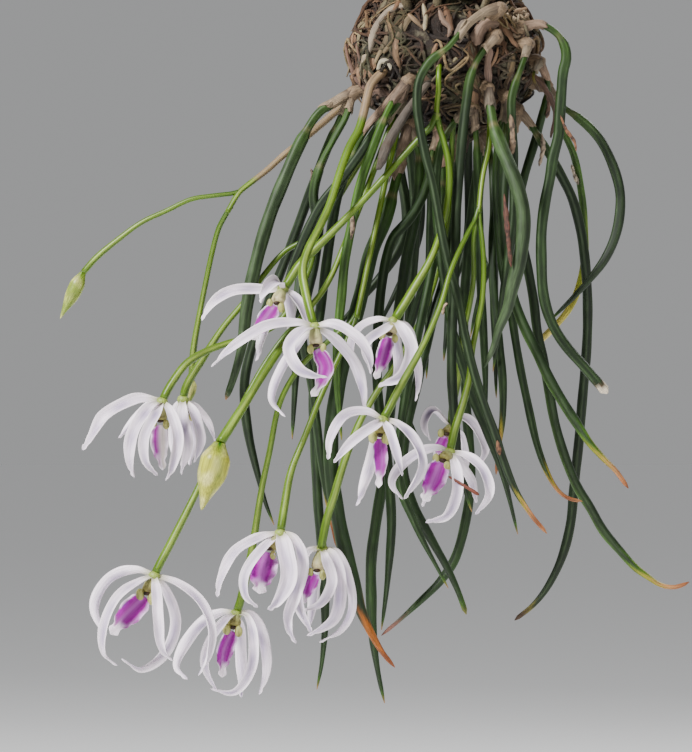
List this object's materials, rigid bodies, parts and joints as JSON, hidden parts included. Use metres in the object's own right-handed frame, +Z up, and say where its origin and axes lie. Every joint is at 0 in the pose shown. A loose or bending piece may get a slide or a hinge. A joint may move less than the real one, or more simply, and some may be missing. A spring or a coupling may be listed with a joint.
{
  "type": "potted leptotes bicolor",
  "caption": "Small hanging clay pot with a wire hanger and a pendulous orchid: long round leaves and nodding white flowers with magenta lips hang below the pot.",
  "frame": {"origin": "where the inside of the hook bears on its rail, on the axis of the pot", "axes": "+Z up along the axis of the pot, -Y towards the side that carries the flowers, +X to the right as seen from there"},
  "size_m": [0.1904, 0.1209, 0.3824],
  "materials": {
    "clay": "unglazed fired clay, weathered",
    "wire": "galvanised wire, dull",
    "bark": "damp bark chips",
    "roots": "matted roots and papery old sheaths",
    "leaf": "waxy dark green living leaf",
    "stem": "satin lime green living stalk",
    "tepal": "thin white living petal",
    "lip": "velvety magenta living petal"
  },
  "bodies": {
    "root": {"bloom_01": "tepal", "bloom_02": "tepal", "bloom_03": "tepal", "bloom_04": "tepal", "bloom_05": "tepal", "bloom_06": "tepal", "bloom_07": "tepal", "bloom_08": "tepal", "bloom_09": "tepal", "bloom_10": "tepal", "bloom_11": "tepal", "bloom_12": "tepal", "flower_stem_a": "stem", "flower_stem_b": "stem", "flower_stem_c": "stem", "flower_stem_d": "stem", "flower_stem_e": "stem", "flower_stem_f": "stem", "flower_stem_g": "stem", "flower_stem_h": "stem", "hanger_hook": "wire", "hanger_leg_1": "wire", "hanger_leg_2": "wire", "hanger_leg_3": "wire", "hanger_ring": "wire", "leafy_stem_back": "leaf", "leafy_stem_behind_grey": "leaf", "leafy_stem_broad": "leaf", "leafy_stem_elbow": "leaf", "leafy_stem_front_arch": "leaf", "leafy_stem_grey": "leaf", "leafy_stem_hooked": "leaf", "leafy_stem_in_pot_left": "leaf", "leafy_stem_in_pot_right": "leaf", "leafy_stem_inner": "leaf", "leafy_stem_left_edge": "leaf", "leafy_stem_left_fan": "leaf", "leafy_stem_long_tip": "leaf", "leafy_stem_middle": "leaf", "leafy_stem_right_front": "leaf", "leafy_stem_right_long": "leaf", "leafy_stem_right_loop": "leaf", "leafy_stem_sheathed": "leaf", "leafy_stem_upper": "leaf", "lip_01": "lip", "lip_02": "lip", "lip_03": "lip", "lip_04": "lip", "lip_05": "lip", "lip_06": "lip", "lip_07": "lip", "lip_08": "lip", "lip_09": "lip", "lip_10": "lip", "lip_11": "lip", "lip_12": "lip", "pot": "clay", "potting_bark": "bark", "root_mass": "roots"}
  },
  "joints": []
}
